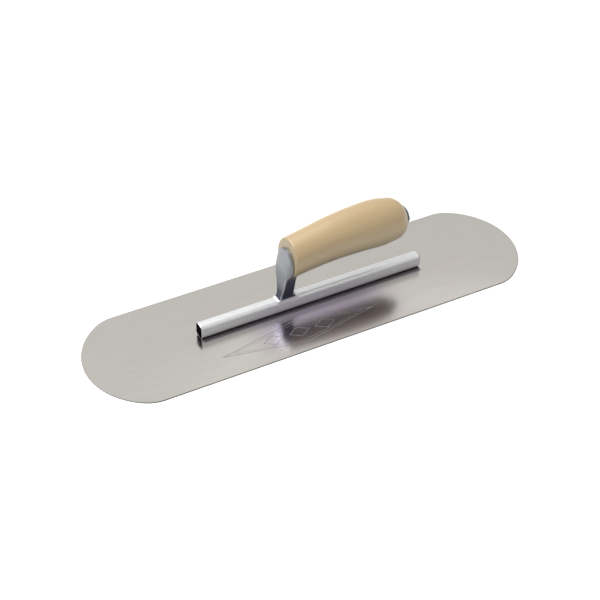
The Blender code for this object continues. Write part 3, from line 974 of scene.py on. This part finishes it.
def blade_material():
    """Brushed carbon steel: fine lines along the blade, faint tints, a painted reflection and
    contact shadow, and a painted-shade dark edge.
    """
    surface = Surface("brushed_blade_steel", 0.24, 1.0)
    clouds = surface.noise((90.0, 40.0, 40.0), 3.0)
    patches = surface.noise((45.0, 12.0, 12.0), 4.0, 0.6)
    lines = surface.noise((70.0, 0.9, 0.9), 4.0, 0.65)
    hairs = surface.noise((25.0, 0.22, 0.22), 2.0, 0.6)
    tint = surface.blend(surface.ranged(clouds, 0.0, 1.0), *STEEL_TINTS)
    tint = surface.blend(surface.ranged(patches, 0.0, 0.5), tint, STEEL_PATCH)
    tint = surface.blend(surface.ranged(lines, 0.0, 0.30), tint, STEEL_LINE)
    # Painted reflection of the handle on the blade in front of the bar
    tint = surface.blend(painted_reflection(surface), tint, STEEL_REFLECTION_PAINT)
    # Painted contact shadow on the blade along the bar's foot
    tint = surface.blend(bar_contact_shadow(surface), tint, STEEL_CONTACT_SHADOW)
    etched = etched_mark(surface)
    tint = surface.blend(etched, tint, STEEL_ETCHED)
    # Painted shade: the blade's rounded edge turns near-black and dull where it faces sideways
    side = surface.maths("ABSOLUTE", surface.normal_part("Z"))
    side = surface.ranged(side, 1.0, 0.0, *BLADE_EDGE_NORMALS)
    surface.colour(surface.blend(side, tint, PAINTED_EDGE_SHADE))
    surface.metal(surface.maths("SUBTRACT", 1.0, side))
    roughness = surface.ranged(lines, 0.16, 0.24)
    roughness = surface.maths("ADD", roughness, surface.ranged(patches, -0.02, 0.03))
    for marks, added in ((etched, ETCH_ROUGHNESS), (side, BLADE_EDGE_ROUGHNESS)):
        roughness = surface.maths("ADD", roughness, surface.maths("MULTIPLY", marks, added))
    surface.rough(roughness)
    camber = blade_camber(surface)
    surface.bump(((camber, CAMBER_DEPTH), (patches, 0.010), (lines, 0.006), (hairs, 0.0025)))
    tangent = surface.nodes.new("ShaderNodeTangent")
    tangent.direction_type = "UV_MAP"
    tangent.uv_map = "brush"
    surface.links.new(tangent.outputs["Tangent"], surface.shader.inputs["Tangent"])
    surface.constant("Anisotropic", 0.6)
    surface.constant("Sheen Weight", 0.08)
    surface.constant("Sheen Roughness", 0.5)
    surface.constant("Sheen Tint", STEEL_SHEEN)
    return surface.material


def aluminium_material():
    """Cast aluminium: the bar is belt-ground bright, the post and head keep a duller skin, with
    painted shade at the post's foot and sides and a painted highlight on its corners.
    """
    surface = Surface("ground_cast_aluminium", 0.24, 1.0)
    cast = surface.noise((6.0, 3.0, 3.0), 4.0, 0.6)
    lines = surface.noise((24.0, 0.5, 0.5), 3.0, 0.6)
    grain = surface.noise((0.5, 0.4, 0.4), 2.0)
    height = surface.position("Z")
    # Painted shade: the post's skin darkens towards its foot
    skin = surface.blend(surface.ranged(height, 0.0, 1.0, *POST_FOOT_SHADE_FADES), *SKIN_AND_FOOT_SHADE)
    ground = surface.blend(surface.ranged(cast, 0.0, 1.0), *GROUND_TINTS)
    ground = surface.blend(surface.ranged(lines, 0.0, 0.25), ground, GROUND_LINE)
    on_post = surface.ranged(height, 0.0, 1.0, *POST_SKIN_START)
    tint = surface.blend(on_post, ground, skin)
    across = surface.maths("ABSOLUTE", surface.normal_part("Y"))
    along = surface.maths("ABSOLUTE", surface.normal_part("X"))
    # Painted highlight on the post's upright corners, fading out towards the head
    ridge = surface.maths("MULTIPLY", across, along)
    ridge = surface.maths("MULTIPLY", surface.ranged(ridge, 0.0, 0.8, 0.25, 0.48),
                          surface.ranged(height, 1.0, 0.0, *PAINTED_CORNER_HIGHLIGHT_ENDS))
    # Painted shade on the post's flat sides, fading out below the head
    shaded = surface.maths("MULTIPLY", surface.ranged(across, 0.0, 0.7, 0.80, 0.97),
                           surface.ranged(height, 1.0, 0.0, *PAINTED_SIDE_SHADE_ENDS))
    shaded = surface.maths("MULTIPLY", shaded, on_post)
    tint = surface.blend(shaded, tint, PAINTED_SIDE_SHADE)
    surface.colour(surface.blend(ridge, tint, PAINTED_CORNER_HIGHLIGHT))
    surface.rough(surface.maths("ADD", surface.ranged(cast, 0.31, 0.37),
                                surface.ranged(on_post, 0.05, 0.12, 0.0, 1.0)))
    surface.metal(surface.ranged(on_post, 0.72, 1.0, 0.0, 1.0))
    surface.bump(((cast, 0.005), (lines, 0.003), (grain, 0.001)))
    return surface.material


def end_material():
    """Near-black, dull surface on the two end faces of the bar."""
    surface = Surface("near_black_bar_end", 0.85, 0.0)
    marks = surface.noise((0.8, 3.0, 0.35), 3.0)
    surface.colour(surface.blend(surface.ranged(marks, 0.0, 1.0), *BAR_END_BLACKS))
    surface.rough(surface.ranged(marks, 0.75, 0.95))
    surface.bump(((marks, 0.02),))
    surface.constant("Specular IOR Level", 0.0)
    surface.constant("IOR", 1.03)
    return surface.material


def wood_material():
    """Pale close-grained hardwood under a thin satin finish, with painted shade on its lower side.
    """
    surface = Surface("pale_hardwood", 0.45, 0.0)
    warp = surface.noise((60.0, 22.0, 22.0), 2.0)
    growth = surface.noise((220.0, 4.5, 4.5), 3.0, 0.55, 0.4)
    streaks = surface.noise((48.0, 0.9, 0.9), 4.0, 0.6)
    pores = surface.noise((3.2, 0.16, 0.16), 2.0, 0.7)
    flecks = surface.noise((1.6, 0.5, 1.4), 2.0, 0.5)
    tint = surface.blend(surface.ranged(warp, 0.0, 1.0), *WOOD_TINTS)
    tint = surface.blend(surface.ranged(growth, 0.0, 0.55), tint, WOOD_GROWTH)
    tint = surface.blend(surface.ranged(streaks, 0.0, 0.40), tint, WOOD_STREAK)
    tint = surface.blend(surface.ranged(flecks, 0.0, 0.20, 0.5, 0.75), tint, WOOD_FLECK)
    tint = surface.blend(surface.ranged(pores, 0.0, 0.35, 0.6, 0.8), tint, WOOD_PORE)
    end = surface.maths("ABSOLUTE", surface.normal_part("X"))
    tint = surface.blend(surface.ranged(end, 0.0, 0.55, 0.75, 0.98), tint, WOOD_END_GRAIN)
    # Painted shade: the wood darkens downwards over its lower half, most on its underside
    under = surface.ranged(surface.normal_part("Z"), 0.80, 0.0, -0.85, 0.60)
    surface.colour(surface.blend(under, tint, WOOD_UNDER_SHADE))
    surface.rough(surface.ranged(streaks, 0.36, 0.52))
    surface.bump(((growth, 0.03), (streaks, 0.02), (pores, 0.012)))
    surface.constant("Coat Weight", 1.0)
    surface.constant("Coat Roughness", 0.55)
    surface.constant("Coat IOR", 1.65)
    return surface.material


def zinc_material():
    """Blue-bright zinc plating over cold-formed steel."""
    surface = Surface("bright_zinc", 0.28, 1.0)
    spangle = surface.noise((1.4, 1.4, 1.4), 3.0, 0.6)
    fine = surface.noise((0.25, 0.25, 0.25), 2.0)
    surface.colour(surface.blend(surface.ranged(spangle, 0.0, 1.0), *ZINC_TINTS))
    surface.rough(surface.ranged(spangle, 0.20, 0.36))
    surface.bump(((spangle, 0.012), (fine, 0.004)))
    return surface.material


def rivet_material():
    """Steel rivet heads, ground flush with the blade."""
    surface = Surface("ground_rivet_steel", 0.34, 1.0)
    lines = surface.noise((9.0, 0.3, 0.3), 3.0, 0.6)
    stain = surface.noise((1.8, 1.8, 1.8), 3.0)
    tint = surface.blend(surface.ranged(lines, 0.0, 1.0), *RIVET_TINTS)
    surface.colour(surface.blend(surface.ranged(stain, 0.0, 0.5), tint, RIVET_STAIN))
    surface.rough(surface.ranged(lines, 0.28, 0.42))
    surface.bump(((stain, 0.01), (lines, 0.006)))
    return surface.material


def floor_material():
    """Plain pale studio floor."""
    surface = Surface("studio_floor", 0.9, 0.0)
    mottle = surface.noise((900.0, 900.0, 900.0), 2.0)
    surface.colour(surface.blend(surface.ranged(mottle, 0.0, 1.0), *FLOOR_TINTS))
    surface.constant("Specular IOR Level", 0.1)
    return surface.material


# ---------------------------------------------------------------- stage, light, camera

def make_floor():
    """Flat floor that the blade lies on."""
    skin = bmesh.new()
    bmesh.ops.create_grid(skin, x_segments=1, y_segments=1, size=FLOOR_HALF_SIZE)
    floor = make_object("studio_floor", skin)
    floor.location.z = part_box("blade")[0].z - FLOOR_GAP
    floor.data.materials.append(floor_material())


def make_key_light():
    """Soft round lamp, high up behind the object, that looks at its middle."""
    lamp = bpy.data.lights.new("key", "AREA")
    lamp.shape = "DISK"
    lamp.size = KEY_SIZE
    lamp.energy = KEY_POWER
    obj = bpy.data.objects.new("key", lamp)
    bpy.context.scene.collection.objects.link(obj)
    direction = Vector(KEY_DIRECTION).normalized()
    obj.location = (cad_low + cad_high) / 2.0 + direction * KEY_DISTANCE
    obj.rotation_mode = "QUATERNION"
    obj.rotation_quaternion = direction.to_track_quat("Z", "Y")


def make_world():
    """Studio room: bright walls behind and in front, dim sides, a pale band at the horizon."""
    world = bpy.data.worlds.new("studio")
    bpy.context.scene.world = world
    world.use_nodes = True
    room = Nodes(world.node_tree)
    background = room.nodes["Background"]
    direction = room.nodes.new("ShaderNodeSeparateXYZ")
    coordinates = room.nodes.new("ShaderNodeTexCoord")
    room.links.new(coordinates.outputs["Generated"], direction.inputs["Vector"])
    height = direction.outputs["Z"]
    ramp = room.nodes.new("ShaderNodeValToRGB")
    ramp.color_ramp.interpolation = "EASE"
    stops = ramp.color_ramp.elements
    while len(stops) < len(WORLD_LEVELS):
        stops.new(1.0)
    for stop, (place, level) in zip(stops, WORLD_LEVELS):
        stop.position = place
        stop.color = (*(level * part for part in WORLD_TINT), 1.0)
    room.links.new(height, ramp.inputs["Fac"])
    room.links.new(ramp.outputs["Color"], background.inputs["Color"])
    along = room.maths("MULTIPLY", direction.outputs["X"], WORLD_BRIGHT[0])
    across = room.maths("ABSOLUTE", direction.outputs["Y"])
    facing = room.maths("MULTIPLY_ADD", across, WORLD_BRIGHT[1], along)
    walls = room.ranged(facing, WORLD_DIM, 1.0, *WORLD_WALL_EDGES, "SMOOTHSTEP")
    horizon = room.ranged(height, 1.0, 0.0, *WORLD_HORIZON)
    brightness = room.maths("MAXIMUM", walls, horizon)
    room.links.new(brightness, background.inputs["Strength"])


def make_camera():
    """Camera at the photograph's viewing angle."""
    right = Vector((math.cos(CAMERA_AZIMUTH), math.sin(CAMERA_AZIMUTH), 0.0))
    level = math.cos(CAMERA_ELEVATION)
    back = Vector((
        math.sin(CAMERA_AZIMUTH) * level,
        -math.cos(CAMERA_AZIMUTH) * level,
        math.sin(CAMERA_ELEVATION),
    ))
    up = back.cross(right)
    camera = bpy.data.cameras.new("camera")
    camera.sensor_width = CAMERA_SENSOR
    camera.lens = CAMERA_LENS
    camera.clip_start, camera.clip_end = CAMERA_CLIP
    obj = bpy.data.objects.new("camera", camera)
    bpy.context.scene.collection.objects.link(obj)
    aim = (cad_low + cad_high) / 2.0 + CAMERA_AIM_OFFSET
    obj.matrix_world = (
        Matrix.Translation(aim + back * CAMERA_DISTANCE)
        @ Matrix((right, up, back)).transposed().to_4x4()
    )
    bpy.context.scene.camera = obj


def main():
    """Build every piece, then the stage, light and camera."""
    zinc = zinc_material()
    rivet_steel = rivet_material()
    place_piece(make_blade(), ["blade"], "blade_steel", blade_material())
    mounting = make_mounting()
    place_piece(mounting, ["mounting"], "aluminium", aluminium_material(), end_material())
    mark_bar_ends(mounting)
    place_piece(make_handle(), ["handle"], "wood", wood_material())
    place_piece(make_rod(), ["handle_rod"], "plated_steel", zinc)
    place_piece(make_washer(), ["washer"], "plated_steel", zinc)
    place_piece(make_nut(), ["nut"], "plated_steel", zinc)
    for number, place in enumerate(rivet_places(), start=1):
        rivet = make_rivet(number, place)
        place_piece(rivet, [f"rivet_{number}"], "rivet_steel", rivet_steel)
    make_floor()
    make_world()
    make_key_light()
    make_camera()
    bpy.context.scene.view_settings.view_transform = "Standard"


main()
